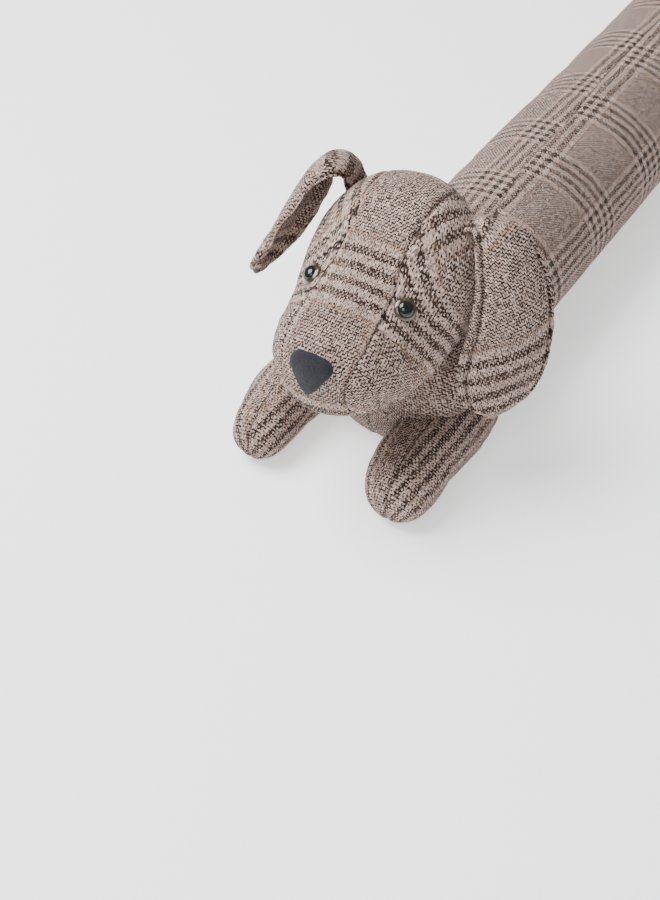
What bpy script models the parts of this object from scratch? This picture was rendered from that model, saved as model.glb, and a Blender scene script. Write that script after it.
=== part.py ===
"""Dog-shaped draught excluder: a long filled tube of cloth with a head, ears, paws and tail.

Metres, +Z up. The dog lies along X with its head at -X, its left side at -Y and its base at z = 0.
The origin is the middle of the base of its box.
"""

from math import cos, pi, sin

import bmesh
import bpy
from mathutils import Vector

# Driving dimensions
MM = 0.001
LENGTH = 0.890  # nose to rear end
BODY_RADIUS = 0.060
BODY_SINK = 0.0022
BODY_FRONT = 0.072
BODY_FRONT_DEPTH = 0.034
BODY_REAR_DEPTH = 0.052
SEAT_GAP = 0.0003

# Felt nose and glass-like eyes. Places are measured back from the muzzle's front and up from the floor
NOSE_WIDTH = 0.029
NOSE_HEIGHT = 0.0225
NOSE_CENTRE_Z = 0.1215
NOSE_FELT = 0.0024
NOSE_PRISM = 0.015
NOSE_CORNER_RADIUS = 0.006
NOSE_CORNER_TURN = 0.6 * pi
NOSE_CORNER_STEPS = 4
NOSE_CORNERS = (
    {"across": -0.5, "up": 0.42, "facing": 0.75 * pi},
    {"across": 0.5, "up": 0.42, "facing": 0.25 * pi},
    {"across": 0.0, "up": -0.58, "facing": 1.5 * pi},
)
MUZZLE_X = -LENGTH / 2 + NOSE_FELT + SEAT_GAP
BODY_END = LENGTH - NOSE_FELT - SEAT_GAP
EYE_RADIUS = 0.0071
EYE_AT = (0.0595, 0.033, 0.147)

# Mesh density: points round a section, and steps between a table's rows
BODY_SIDES = 36
BODY_CAP_STEPS = 7
BODY_STRAIGHT_STEPS = 18
HEAD_SIDES = 36
HEAD_STEPS = 3
LIMB_SIDES = 24
LIMB_STEPS = 2
LEAF_SIDES = 22
LEAF_STEPS = 4
JAW_SEGMENTS = 48
EYE_SEGMENTS = 20
SHARP_ANGLE = 0.7

# Colours and finish of the preview materials: red, green, blue, roughness
CLOTH_FINISH = (0.36, 0.29, 0.25, 0.95)
FELT_FINISH = (0.030, 0.032, 0.040, 0.98)
EYE_FINISH = (0.012, 0.010, 0.008, 0.08)

# Head sections, millimetres: distance behind the muzzle's front, height of the widest level,
# half width, rise over that level and drop under it
HEAD_COLUMNS = ("along", "level", "half_width", "rise", "drop")
HEAD_ROWS = (
    (0, 114, 0, 0, 0),
    (3, 114, 18, 16, 19),
    (11, 113, 30.5, 26, 31),
    (24, 112, 41, 36, 38),
    (42, 112, 47.5, 43, 43),
    (62, 114, 51.5, 48, 46),
    (84, 124, 56.5, 56, 50),
    (106, 132, 59, 61.5, 54),
    (128, 137, 56, 57, 54),
    (146, 139, 44, 46, 44),
    (158, 140, 26, 27, 26),
    (163, 140, 0, 0, 0),
)
# The flatter panel under the jaw: an ellipsoid's centre and half sizes, millimetres
JAW_CENTRE = (79, 0, 157.3)
JAW_HALF = (127, 88, 83)

# Legs: the same columns with the section's sideways place. They lie on the floor
FLOOR_Z = 0.0
LEG_COLUMNS = ("along", "side", "level", "half_width", "rise", "drop")
LEFT_LEG_ROWS = (
    (16, 48, 19, 0, 0, 0),
    (19, 48, 19, 14, 11, 12),
    (29, 47, 20, 22, 18, 19),
    (50, 45, 21, 27, 22, 22.5),
    (78, 44, 22, 28, 23, 23.5),
    (112, 46, 22, 26, 22, 23.5),
    (145, 48, 20, 18, 15, 19),
    (157, 48, 19, 0, 0, 0),
)
RIGHT_LEG_ROWS = (
    (19, 61, 19, 0, 0, 0),
    (22, 61, 19, 13, 11, 12),
    (32, 62, 20, 19, 18, 19),
    (52, 64, 21, 22.5, 22, 22.5),
    (78, 65, 22, 25, 23, 23.5),
    (112, 60, 22, 26, 22, 23.5),
    (145, 52, 20, 18, 15, 19),
    (157, 48, 19, 0, 0, 0),
)
HIND_LEG_ROWS = (
    (709, 72, 12, 0, 0, 0),
    (713, 72, 12, 13, 7, 9),
    (723, 71, 13, 21, 11, 12.5),
    (742, 68, 14, 27, 13, 14.5),
    (767, 62, 14, 29, 14, 14.5),
    (792, 51, 14, 26, 14, 14.5),
    (814, 40, 14, 20, 12, 13),
    (828, 31, 13, 0, 0, 0),
)

# Leaves: a row for each place along the middle line, millimetres. side is outward of the dog.
# The leaf's width runs along the direction (across, out, down), and curl bends its two edges
LEAF_COLUMNS = ("along", "side", "up", "half_width", "across", "out", "down", "curl")
RIGHT_EAR_ROWS = (
    (131, 42, 169, 12, 0.95, -0.10, 0.20, 1),
    (127, 48, 186, 15, 0.94, 0.25, 0.15, 2),
    (122, 57, 190, 19, 0.94, 0.30, 0.15, 4),
    (117, 65, 183, 22, 0.93, 0.20, 0.20, 6),
    (112, 71, 170, 25, 0.93, 0.12, 0.27, 7),
    (107, 78, 153, 27, 0.93, 0.05, 0.29, 7),
    (101, 85, 137, 26, 0.93, 0.05, 0.29, 7),
    (93, 93, 120, 19, 0.93, 0.05, 0.29, 5),
    (88, 98, 109, 6, 0.93, 0.05, 0.29, 2),
)
LEFT_EAR_ROWS = (
    (130, 40, 170, 14, 0.7, 0.3, 0.1, 1),
    (128, 55, 176, 16, 0.7, 0.5, 0.1, 2),
    (122, 66, 168, 20, 0.7, 0.6, 0.0, 3),
    (113, 78, 145, 25, 0.7, 0.7, 0.0, 4),
    (105, 83, 119, 28.5, 0.7, 0.7, 0.0, 4),
    (96, 83, 93, 29.5, 0.7, 0.7, 0.0, 4),
    (91, 82, 72, 22, 0.7, 0.7, 0.0, 3),
    (90, 81, 61, 7, 0.7, 0.7, 0.0, 1),
)
TAIL_ROWS = (
    (810, 0, 111, 18, 0.77, 0.0, -0.64, 0),
    (797, 1, 125, 20, 0.70, 0.0, -0.71, 0),
    (780, 3, 137, 20.5, 0.58, 0.0, -0.81, 1),
    (760, 5, 147, 18, 0.45, 0.0, -0.89, 1),
    (742, 7, 153, 13, 0.30, 0.0, -0.95, 1),
    (731, 8, 155, 5, 0.30, 0.0, -0.95, 0),
)
EAR_THICKNESS = 0.0090
TAIL_THICKNESS = 0.0095
LEAF_TIP = 0.25  # how far the end is rounded out, in thicknesses


def start_clean():
    for item in list(bpy.data.objects):
        bpy.data.objects.remove(item, do_unlink=True)


def make_collection(name):
    group = bpy.data.collections.new(name)
    bpy.context.scene.collection.children.link(group)
    return group


def make_material(name, finish):
    red, green, blue, roughness = finish
    material = bpy.data.materials.new(name)
    material.use_nodes = True
    shader = material.node_tree.nodes["Principled BSDF"]
    shader.inputs["Base Color"].default_value = (red, green, blue, 1.0)
    shader.inputs["Roughness"].default_value = roughness
    shader.inputs["Metallic"].default_value = 0.0
    material.diffuse_color = (red, green, blue, 1.0)
    return material


def world_x(along):
    """Distance behind the muzzle's front, as a place on X."""
    return MUZZLE_X + along


def cubic(before, start, end, after, part):
    """A point on the smooth curve that runs from start to end."""
    return 0.5 * (
        2 * start
        + (end - before) * part
        + (2 * before - 5 * start + 4 * end - after) * part ** 2
        + (3 * start - before - 3 * end + after) * part ** 3
    )


def smooth_rows(columns, rows, steps, closing=()):
    """Rows read from the smooth curves through a table. Closing columns pass through zero at its ends."""
    first = [-value if name in closing else value for name, value in zip(columns, rows[1])]
    last = [-value if name in closing else value for name, value in zip(columns, rows[-2])]
    if not closing:
        first = [2 * a - b for a, b in zip(rows[0], rows[1])]
        last = [2 * a - b for a, b in zip(rows[-1], rows[-2])]
    padded = [first, *rows, last]
    result = []
    for index in range(len(rows) - 1):
        for step in range(steps):
            part = step / steps
            values = [cubic(*(padded[index + k][c] for k in range(4)), part) for c in range(len(columns))]
            result.append(dict(zip(columns, values)))
    result.append(dict(zip(columns, rows[-1])))
    return result


def mesh_from_rings(name, rings, start=None, end=None):
    """Join rings of equal count. A start or end point closes that side as a cone, else as a flat face."""
    shape = bmesh.new()
    loops = [[shape.verts.new(point) for point in ring] for ring in rings]
    count = len(loops[0])
    for lower, upper in zip(loops, loops[1:]):
        for i in range(count):
            j = (i + 1) % count
            shape.faces.new((lower[i], lower[j], upper[j], upper[i]))
    for loop, tip in ((loops[0], start), (loops[-1], end)):
        if tip is None:
            shape.faces.new(loop)
            continue
        point = shape.verts.new(tip)
        for i in range(count):
            shape.faces.new((loop[i], loop[(i + 1) % count], point))
    bmesh.ops.recalc_face_normals(shape, faces=shape.faces)
    mesh = bpy.data.meshes.new(name)
    shape.to_mesh(mesh)
    shape.free()
    return mesh


def add_object(name, mesh, group, material=None):
    item = bpy.data.objects.new(name, mesh)
    group.objects.link(item)
    if material is not None:
        mesh.materials.append(material)
        mesh.shade_smooth()
        mesh.set_sharp_from_angle(angle=SHARP_ANGLE)
    else:
        item.hide_render = True
        item.display_type = "WIRE"
    return item


def cut(item, cutter, operation="DIFFERENCE"):
    """Apply a Boolean at once, so that the result may itself be cut or copied."""
    modifier = item.modifiers.new("cut", "BOOLEAN")
    modifier.operation = operation
    modifier.solver = "EXACT"
    modifier.object = cutter
    depsgraph = bpy.context.evaluated_depsgraph_get()
    mesh = bpy.data.meshes.new_from_object(item.evaluated_get(depsgraph))
    item.modifiers.clear()
    old = item.data
    item.data = mesh
    mesh.name = old.name
    bpy.data.meshes.remove(old)


def body_mesh(grow=0.0):
    """A round tube with domed ends whose underside is pressed flat on the floor."""
    radius = BODY_RADIUS + grow
    centre_z = BODY_RADIUS - BODY_SINK
    straight_start = BODY_FRONT + BODY_FRONT_DEPTH
    straight_end = BODY_END - BODY_REAR_DEPTH
    places = []
    for step in range(1, BODY_CAP_STEPS):
        angle = step / BODY_CAP_STEPS * pi / 2
        places.append((straight_start - (BODY_FRONT_DEPTH + grow) * cos(angle), sin(angle)))
    for step in range(BODY_STRAIGHT_STEPS + 1):
        part = step / BODY_STRAIGHT_STEPS
        places.append((straight_start + (straight_end - straight_start) * part, 1.0))
    for step in range(1, BODY_CAP_STEPS):
        angle = (1 - step / BODY_CAP_STEPS) * pi / 2
        places.append((straight_end + (BODY_REAR_DEPTH + grow) * cos(angle), sin(angle)))
    rings = []
    for along, share in places:
        ring = []
        for side in range(BODY_SIDES):
            angle = 2 * pi * (side + 0.5) / BODY_SIDES
            height = centre_z + radius * share * sin(angle)
            ring.append((world_x(along), radius * share * cos(angle), max(height, -grow)))
        rings.append(ring)
    start = (world_x(BODY_FRONT - grow), 0, centre_z)
    end = (world_x(BODY_END + grow), 0, centre_z)
    return mesh_from_rings("body", rings, start, end)


def section_rings(rows, sides, grow, floor, mirror):
    """Upright oval rings from a table's rows, without the closing rows at its two ends."""
    rings = []
    for row in rows[1:-1]:
        ring = []
        for side in range(sides):
            angle = 2 * pi * side / sides
            reach = row["rise"] if sin(angle) > 0 else row["drop"]
            y = row.get("side", 0) * MM * mirror + (row["half_width"] * MM + grow) * cos(angle)
            z = row["level"] * MM + (reach * MM + grow) * sin(angle)
            if floor is not None:
                z = max(z, floor)
            ring.append((world_x(row["along"] * MM), y, z))
        rings.append(ring)
    return rings


def closed_section_mesh(name, columns, table, sides, steps, grow=0.0, floor=None, mirror=1):
    """A solid through the sections of a table, pressed flat where it meets a floor."""
    rows = smooth_rows(columns, table, steps, closing=("half_width", "rise", "drop"))
    rings = section_rings(rows, sides, grow, floor, mirror)
    tips = []
    for row, sign in ((rows[0], -1), (rows[-1], 1)):
        place = world_x(row["along"] * MM + sign * grow)
        tips.append((place, row.get("side", 0) * MM * mirror, row["level"] * MM))
    return mesh_from_rings(name, rings, *tips)


def ellipsoid_mesh(name, centre, half, segments):
    shape = bmesh.new()
    bmesh.ops.create_uvsphere(shape, u_segments=segments, v_segments=segments // 2, radius=1.0)
    for vert in shape.verts:
        vert.co = Vector(centre) + Vector(half) * vert.co
    mesh = bpy.data.meshes.new(name)
    shape.to_mesh(mesh)
    shape.free()
    return mesh


def head_object(name, group, cutters, material=None, grow=0.0):
    """The rounded head, flatter under the seam that runs round the jaw."""
    mesh = closed_section_mesh(name, HEAD_COLUMNS, HEAD_ROWS, HEAD_SIDES, HEAD_STEPS, grow)
    head = add_object(name, mesh, group, material)
    centre = (world_x(JAW_CENTRE[0] * MM), 0, JAW_CENTRE[2] * MM)
    half = [value * MM + grow for value in JAW_HALF]
    jaw = add_object(name + "_jaw", ellipsoid_mesh("jaw", centre, half, JAW_SEGMENTS), cutters)
    cut(head, jaw, "INTERSECT")
    return head


def leaf_mesh(name, table, thickness, mirror=1):
    """A padded leaf along a curved middle line: oval sections whose edges may curl."""
    rows = smooth_rows(LEAF_COLUMNS, table, LEAF_STEPS)
    centres = [Vector((world_x(r["along"] * MM), r["side"] * MM * mirror, r["up"] * MM)) for r in rows]
    rings = []
    last = len(rows) - 1
    for index, row in enumerate(rows):
        ahead = (centres[min(index + 1, last)] - centres[max(index - 1, 0)]).normalized()
        width = Vector((row["across"], row["out"] * mirror, -row["down"]))
        width = (width - ahead * width.dot(ahead)).normalized()
        face = ahead.cross(width) * mirror
        ring = []
        for side in range(LEAF_SIDES):
            angle = 2 * pi * side / LEAF_SIDES
            across = row["half_width"] * MM * cos(angle)
            through = thickness / 2 * sin(angle) + row["curl"] * MM * cos(angle) ** 2
            ring.append(centres[index] + width * across + face * through)
        rings.append(ring)
    tip_out = (centres[-1] - centres[-2]).normalized() * thickness * LEAF_TIP
    return mesh_from_rings(name, rings, None, centres[-1] + tip_out)


def eye_mesh(name, mirror, grow=0.0):
    along, side, up = EYE_AT
    centre = (world_x(along), side * mirror, up)
    return ellipsoid_mesh(name, centre, [EYE_RADIUS + grow] * 3, EYE_SEGMENTS)


def nose_prism():
    """A rounded triangle, point down, pushed through the front of the muzzle."""
    outline = []
    for corner in NOSE_CORNERS:
        point = Vector((corner["across"] * NOSE_WIDTH, corner["up"] * NOSE_HEIGHT))
        centre = point - point.normalized() * NOSE_CORNER_RADIUS
        for step in range(NOSE_CORNER_STEPS + 1):
            turn = corner["facing"] + (0.5 - step / NOSE_CORNER_STEPS) * NOSE_CORNER_TURN
            outline.append(centre + Vector((cos(turn), sin(turn))) * NOSE_CORNER_RADIUS)
    rings = []
    for x in (world_x(-NOSE_PRISM), world_x(NOSE_PRISM)):
        rings.append([(x, point.x, NOSE_CENTRE_Z + point.y) for point in outline])
    return mesh_from_rings("nose", rings)


def build():
    start_clean()
    dog = make_collection("draught_excluder")
    cutters = make_collection("cutters")
    cloth = make_material("cloth", CLOTH_FINISH)
    felt = make_material("felt", FELT_FINISH)
    glass = make_material("eye", EYE_FINISH)

    grown_head = head_object("grown_head", cutters, cutters, None, SEAT_GAP)
    grown_body = add_object("grown_body", body_mesh(SEAT_GAP), cutters)

    head = head_object("head", dog, cutters, cloth)
    body = add_object("body", body_mesh(), dog, cloth)
    cut(body, grown_head)

    for label, mirror, front_rows in (("left", -1, LEFT_LEG_ROWS), ("right", 1, RIGHT_LEG_ROWS)):
        socket = add_object("socket_" + label, eye_mesh("socket", mirror, SEAT_GAP), cutters)
        cut(head, socket)
        add_object("eye_" + label, eye_mesh("eye", mirror), dog, glass)

        for place, leg_rows in (("front", front_rows), ("hind", HIND_LEG_ROWS)):
            mesh = closed_section_mesh(
                "leg", LEG_COLUMNS, leg_rows, LIMB_SIDES, LIMB_STEPS, floor=FLOOR_Z, mirror=mirror
            )
            leg = add_object(place + "_leg_" + label, mesh, dog, cloth)
            cut(leg, grown_body)

    for label, mirror, rows in (("left", -1, LEFT_EAR_ROWS), ("right", 1, RIGHT_EAR_ROWS)):
        ear = add_object("ear_" + label, leaf_mesh("ear", rows, EAR_THICKNESS, mirror), dog, cloth)
        cut(ear, grown_head)
        cut(ear, grown_body)

    tail = add_object("tail", leaf_mesh("tail", TAIL_ROWS, TAIL_THICKNESS), dog, cloth)
    cut(tail, grown_body)

    nose = add_object("nose", nose_prism(), dog, felt)
    felt_cover = head_object("felt_cover", cutters, cutters, None, SEAT_GAP + NOSE_FELT)
    cut(nose, felt_cover, "INTERSECT")
    cut(nose, grown_head)


build()
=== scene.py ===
"""Looks of the dog-shaped draught excluder: checked cloth over a filled tube, head, ears, paws and tail.

Metres, +Z up, in the frame of the solids: the head is at -X, the dog's left at -Y, the floor at z = 0.
"""

from contextlib import contextmanager
from math import cos, exp, pi, radians, sin, sqrt

import bmesh
import bpy
import numpy as np
from mathutils import Matrix, Vector, noise
from mathutils.bvhtree import BVHTree
from mathutils.kdtree import KDTree


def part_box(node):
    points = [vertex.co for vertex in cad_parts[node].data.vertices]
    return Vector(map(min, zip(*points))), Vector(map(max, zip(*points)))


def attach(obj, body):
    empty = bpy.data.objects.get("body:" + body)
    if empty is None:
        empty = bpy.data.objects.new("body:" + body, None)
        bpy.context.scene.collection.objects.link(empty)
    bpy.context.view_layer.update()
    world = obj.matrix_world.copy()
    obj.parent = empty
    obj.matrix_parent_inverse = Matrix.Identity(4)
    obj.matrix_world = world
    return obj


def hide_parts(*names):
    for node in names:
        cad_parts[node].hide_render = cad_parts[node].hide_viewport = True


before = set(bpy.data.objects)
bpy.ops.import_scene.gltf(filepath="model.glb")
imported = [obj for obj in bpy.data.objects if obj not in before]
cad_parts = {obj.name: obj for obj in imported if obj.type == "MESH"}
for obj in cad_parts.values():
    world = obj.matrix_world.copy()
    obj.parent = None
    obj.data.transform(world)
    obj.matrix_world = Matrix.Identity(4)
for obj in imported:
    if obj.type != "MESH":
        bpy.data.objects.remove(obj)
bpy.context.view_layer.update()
MM = 0.001

# Driving places, read from the solids
MUZZLE_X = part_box("head")[0].x
REAR_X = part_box("body")[1].x

# Camera: where it stands and which way it looks
CAMERA_PLACE = (-1.0483, -0.392, 0.734)
CAMERA_DOWN = radians(43)
CAMERA_TURN = radians(31.8)
CAMERA_LENS = 62.44
CAMERA_SENSOR = 36

# Cloth: the check's repeat, counted in threads, and how far apart the threads lie
BAR_THREADS = 6
COARSE_THREADS = 48
REPEAT_THREADS = 120
PITCH_ACROSS = 0.00067
PITCH_ALONG = 0.00094

# Body
BODY_RADIUS = 0.060
BODY_SINK = 0.0022
BODY_FRONT = 0.072
BODY_FRONT_DEPTH = 0.034
BODY_REAR_DEPTH = 0.052
BODY_CENTRE_Z = BODY_RADIUS - BODY_SINK

# Head sections, millimetres, as the solid head has them
HEAD_COLUMNS = ("along", "level", "half_width", "rise", "drop")
HEAD_ROWS = (
    (0, 114, 0, 0, 0),
    (3, 114, 18, 16, 19),
    (11, 113, 30.5, 26, 31),
    (24, 112, 41, 36, 38),
    (42, 112, 47.5, 43, 43),
    (62, 114, 51.5, 48, 46),
    (84, 124, 56.5, 56, 50),
    (106, 132, 59, 61.5, 54),
    (128, 137, 56, 57, 54),
    (146, 139, 44, 46, 44),
    (158, 140, 26, 27, 26),
    (163, 140, 0, 0, 0),
)
JAW_CENTRE = (79, 0, 157.3)
JAW_HALF = (127, 88, 83)
JAW_SEAM_LIFT = 0.0002
# Half width of the gusset that runs from the chin over the crown
GUSSET_COLUMNS = ("along", "half_width")
GUSSET_ROWS = (
    (0, 20),
    (8, 24),
    (20, 27),
    (45, 27),
    (60, 25),
    (75, 21.5),
    (90, 21),
    (105, 23.5),
    (130, 24),
    (163, 20),
)
# Where the gusset reaches below the head's middle line: a little everywhere, and freely at its two ends
GUSSET_OVERLAP = 0.002
GUSSET_FRONT = 0.030
GUSSET_REAR = 0.140

# Legs, as the solids have them
LEG_COLUMNS = ("along", "side", "level", "half_width", "rise", "drop")
LEFT_LEG_ROWS = (
    (16, 48, 19, 0, 0, 0),
    (19, 48, 19, 14, 11, 12),
    (29, 47, 20, 22, 18, 19),
    (50, 45, 21, 27, 22, 22.5),
    (78, 44, 22, 28, 23, 23.5),
    (112, 46, 22, 26, 22, 23.5),
    (145, 48, 20, 18, 15, 19),
    (157, 48, 19, 0, 0, 0),
)
RIGHT_LEG_ROWS = (
    (19, 61, 19, 0, 0, 0),
    (22, 61, 19, 13, 11, 12),
    (32, 62, 20, 19, 18, 19),
    (52, 64, 21, 22.5, 22, 22.5),
    (78, 65, 22, 25, 23, 23.5),
    (112, 60, 22, 26, 22, 23.5),
    (145, 52, 20, 18, 15, 19),
    (157, 48, 19, 0, 0, 0),
)
HIND_LEG_ROWS = (
    (709, 72, 12, 0, 0, 0),
    (713, 72, 12, 13, 7, 9),
    (723, 71, 13, 21, 11, 12.5),
    (742, 68, 14, 27, 13, 14.5),
    (767, 62, 14, 29, 14, 14.5),
    (792, 51, 14, 26, 14, 14.5),
    (814, 40, 14, 20, 12, 13),
    (828, 31, 13, 0, 0, 0),
)

# Ears and tail: the middle line of each padded leaf, as the solids have it, with the left ear up to 3 mm
# further out
LEAF_COLUMNS = ("along", "side", "up", "half_width", "across", "out", "down", "curl")
RIGHT_EAR_ROWS = (
    (131, 42, 169, 12, 0.95, -0.10, 0.20, 1),
    (127, 48, 186, 15, 0.94, 0.25, 0.15, 2),
    (122, 57, 190, 19, 0.94, 0.30, 0.15, 4),
    (117, 65, 183, 22, 0.93, 0.20, 0.20, 6),
    (112, 71, 170, 25, 0.93, 0.12, 0.27, 7),
    (107, 78, 153, 27, 0.93, 0.05, 0.29, 7),
    (101, 85, 137, 26, 0.93, 0.05, 0.29, 7),
    (93, 93, 120, 19, 0.93, 0.05, 0.29, 5),
    (88, 98, 109, 6, 0.93, 0.05, 0.29, 2),
)
LEFT_EAR_ROWS = (
    (130, 40, 170, 14, 0.7, 0.3, 0.1, 1),
    (128, 55, 177, 16, 0.7, 0.5, 0.1, 2),
    (121, 68, 170, 20, 0.7, 0.6, 0.0, 3),
    (112, 81, 146, 25, 0.7, 0.7, 0.0, 4),
    (104, 86, 119, 28.5, 0.7, 0.7, 0.0, 4),
    (96, 85, 93, 29.5, 0.7, 0.7, 0.0, 4),
    (91, 83, 72, 22, 0.7, 0.7, 0.0, 3),
    (90, 81, 61, 7, 0.7, 0.7, 0.0, 1),
)
TAIL_ROWS = (
    (810, 0, 111, 18, 0.77, 0.0, -0.64, 0),
    (797, 1, 125, 20, 0.70, 0.0, -0.71, 0),
    (780, 3, 137, 20.5, 0.58, 0.0, -0.81, 1),
    (760, 5, 147, 18, 0.45, 0.0, -0.89, 1),
    (742, 7, 153, 13, 0.30, 0.0, -0.95, 1),
    (731, 8, 155, 5, 0.30, 0.0, -0.95, 0),
)
EAR_THICKNESS = 0.0090
TAIL_THICKNESS = 0.0095
# A leaf's rim at its tip, the slope into its hollow, and the cloth that closes its tip
LEAF_TIP_RIM = 0.002
HOLLOW_SLOPE = 0.006
TIP_CLOTH = 0.003
# Hollow and rim, steps from edge to seam, where threads start, their turn and side, and bars left out
LEAF_LAY_COLUMNS = (
    "hollow", "rim", "front_seam", "rear_seam", "outer_start", "inner_start", "turn", "side_thread", "plain",
)
LEAVES = (
    ("ear_left", LEFT_EAR_ROWS, EAR_THICKNESS, -1, (0.003, 0.006, 5, 3, 0.101, 0.101, 0.45, 84, (1, 0))),
    ("ear_right", RIGHT_EAR_ROWS, EAR_THICKNESS, 1, (0.0045, 0.0085, 3, 3, -0.006, -0.014, 0.0, 84, (0, 0))),
    ("tail", TAIL_ROWS, TAIL_THICKNESS, 1, (0.0, 0.006, 0, 0, 0.030, 0.030, 0.0, 90, (0, 0))),
)

# Eyes: where each sits behind the muzzle's front, to the side and up, and the way it faces
EYE_AT = (0.0595, 0.033, 0.147)
EYE_FACING = (-0.45, 0.55, 0.70)
EYE_SEARCH = 0.02
EYE_LIFT = 0.0012
PUPIL_LIFT = 0.0018
# Radius, bulge and depth of the amber ring and of the pupil
RING_DOME = (0.0075, 0.0030, 0.005)
PUPIL_DOME = (0.0054, 0.0036, 0.003)

# Mesh density: rings along and points round the stuffed pieces and the leaves
BODY_SIDES = 96
BODY_CAP_RINGS = 16
BODY_STRAIGHT_RINGS = 160
HEAD_SIDES = 96
HEAD_STEPS = 8
LEG_SIDES = 64
LEG_STEPS = 6
LEAF_SIDES = 48
LEAF_STEPS = 6
LEAF_TIP = 0.4
EYE_SIDES = 64
EYE_STEPS = 14
VOXEL = 0.004
LEG_VOXEL = 0.0035
FLOOR_GAP = 0.0003
# How near to a seam, as a share of its edge, a corner is moved onto it
SNAP = 0.3

# Filling: pressure, steps, and how much of the swelling is kept
FILL_PRESSURE = 4.0
LEAF_PRESSURE = 1.2
FILL_FRAMES = 20
FILL_CAP = 0.0035
BODY_CAP = 0.0005
LEAF_CAP = 0.0012
CLOTH_SLACK = -0.02
SETTLE_STEPS = 400

# Flattened cloth: how much of it gives a thread's direction and a crossing's place, and the fewest points
RUN_REACH = 0.018
PLACE_REACH = 0.008
LEAST_POINTS = 12
# Weight of the places where a direction laid over the panel is least sure
LEAST_WEIGHT = 0.02

# Where bars fade out: behind a place on X, and across from a numbered thread of the cheek
PLAIN_FADE = 0.006
PLAIN_THREAD = -44
PLAIN_FADE_THREADS = 16

# Sewing: how far from a seam its pull reaches, its groove's width, the small roll beside it, and the gathers
SEAM_REACH = 0.016
SEAM_WIDTH = 0.0013
LEAF_SEAM_WIDTH = 0.0018
ROLL_HEIGHT = 0.00035
ROLL_AT = 0.0035
ROLL_WIDTH = 0.0018
GATHER_SHARE = 0.35
GATHER_SIZE = 0.0045
GATHER_REACH = 0.005
# Height and size of the large and the small hollows over the whole cloth
HOLLOWS = ((0.0005, 0.034), (0.00022, 0.013))

# Panels, and the seam that wanders along the back: millimetres round from the top, to the dog's right
LEFT_PANEL = 0
RIGHT_PANEL = 1
GUSSET_PANEL = 2
CHIN_PANEL = 3
BACK_SEAM_COLUMNS = ("along", "arc")
BACK_SEAM_ROWS = (
    (60, -14),
    (215, -13.5),
    (250, -9),
    (285, -3.5),
    (325, -3.5),
    (350, -5),
    (385, -3),
    (430, 0),
    (900, 0),
)

# Nose, with its corners: across and up as shares of its size, and the way each faces
NOSE_WIDTH = 0.0290
NOSE_HEIGHT = 0.0222
NOSE_CROWN = 0.0055
NOSE_CENTRE_Z = 0.1210
NOSE_SEARCH = 0.05
NOSE_BACK = 0.003
NOSE_BACK_MIDDLE = 0.005
NOSE_FELT = 0.0022
NOSE_CORNER_RADIUS = 0.0050
NOSE_CORNER_TURN = 0.6 * pi
NOSE_CORNERS = (
    (-0.5, 0.42, 0.75 * pi),
    (0.5, 0.42, 0.25 * pi),
    (0.0, -0.58, 1.5 * pi),
)
NOSE_SIDES = 120
NOSE_RINGS = 36
NOSE_CORNER_STEPS = 8
NOSE_EDGE_POWER = 14
# Height and size of the felt's ripples, and the layer of noise that each reads
NOSE_RIPPLES = ((0.00015, 0.005, 0), (0.00005, 0.0014, 5))

# Weave: how far threads stray, in threads, the share of crossings as a twill has them, streaks, and relief
TWILL_THREADS = 4
SWAY = 1.7
SWAY_SCALE = 0.03
WAVER = 0.6
WAVER_SCALE = 0.55
REGULAR_CROSSINGS = 0.86
STRAND_STEP = 3.7
STRAND_SCALE = 0.35
RUST_SHARE = 0.6
RUST_SPREAD = 1.2
FUZZ_SHARE = 0.6
THREAD_HEIGHT = 0.00022
CREASE_HEIGHT = 0.0012
# Scales of the noises in flecks, tint, shade, creases and fuzz
FLECK_SCALE = 2.3
TINT_SCALE = 60.0
SHADE_SCALE = 22.0
CREASE_SCALE = 75.0
FUZZ_SCALE = 1500.0
# From one value of a noise or a distance to another, and what it gives at each
STREAKS = (0.32, 0.68)
PATCH_SHADE = (0.3, 0.7, 0.90, 1.04)
CLOTH_ROUGHNESS = (0.2, 0.8, 0.82, 0.98)
# Painted shade that darkens the cloth in each seam's groove, read from the distance to the seam
SEAM_PAINTED_SHADE = (0.0002, 0.0011, 0.50, 1.0)
# Painted highlight that lightens the small roll beside each seam
ROLL_PAINTED_HIGHLIGHT = (0.0, 0.0025, 1.07, 1.0)

# Colours, linear red, green and blue, some as a dark and a light tone
LIGHT_YARN = ((0.25, 0.175, 0.150), (0.68, 0.53, 0.460))
DARK_YARN = ((0.007, 0.0045, 0.004), (0.036, 0.024, 0.021))
RUST_YARN = (0.19, 0.085, 0.040)
FLECK = (0.14, 0.097, 0.082)
WARM_TINT = (0.20, 0.115, 0.065)
# Touches on the yarn: which noise, where it starts and is full, its most, and its colour
YARN_TOUCHES = (
    ("fleck", 0.55, 0.70, 0.30, FLECK),
    ("each", 0.75, 1.0, 0.60, FLECK),
    ("stray", 0.93, 1.0, 0.8, DARK_YARN[1]),
    ("stray", 0.16, 0.0, 0.9, LIGHT_YARN[0]),
    ("tint", 0.50, 0.72, 0.22, WARM_TINT),
)
FELT = ((0.007, 0.007, 0.010), (0.022, 0.022, 0.030))
EYE_RING = ((0.022, 0.016, 0.006), (0.060, 0.043, 0.016))
PUPIL = ((0.0035, 0.0035, 0.004), (0.009, 0.009, 0.010))
FLOOR_COLOUR = (0.88, 0.88, 0.88)

# Light: name, place, target, side of the softbox, power
SOFTBOXES = (
    ("key", (-0.75, 1.1, 1.9), (-0.25, 0.0, 0.1), 1.6, 120),
    ("fill", (-1.6, -0.3, 1.3), (-0.25, 0.0, 0.1), 0.8, 9),
)
WORLD_STRENGTH = 0.43
FLOOR_GLOW = 0.9
FLOOR_HALF = 6.0


def world_x(along):
    """Distance behind the muzzle's front, as a place on X."""
    return MUZZLE_X + along


def along_of(x):
    return x - MUZZLE_X


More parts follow.
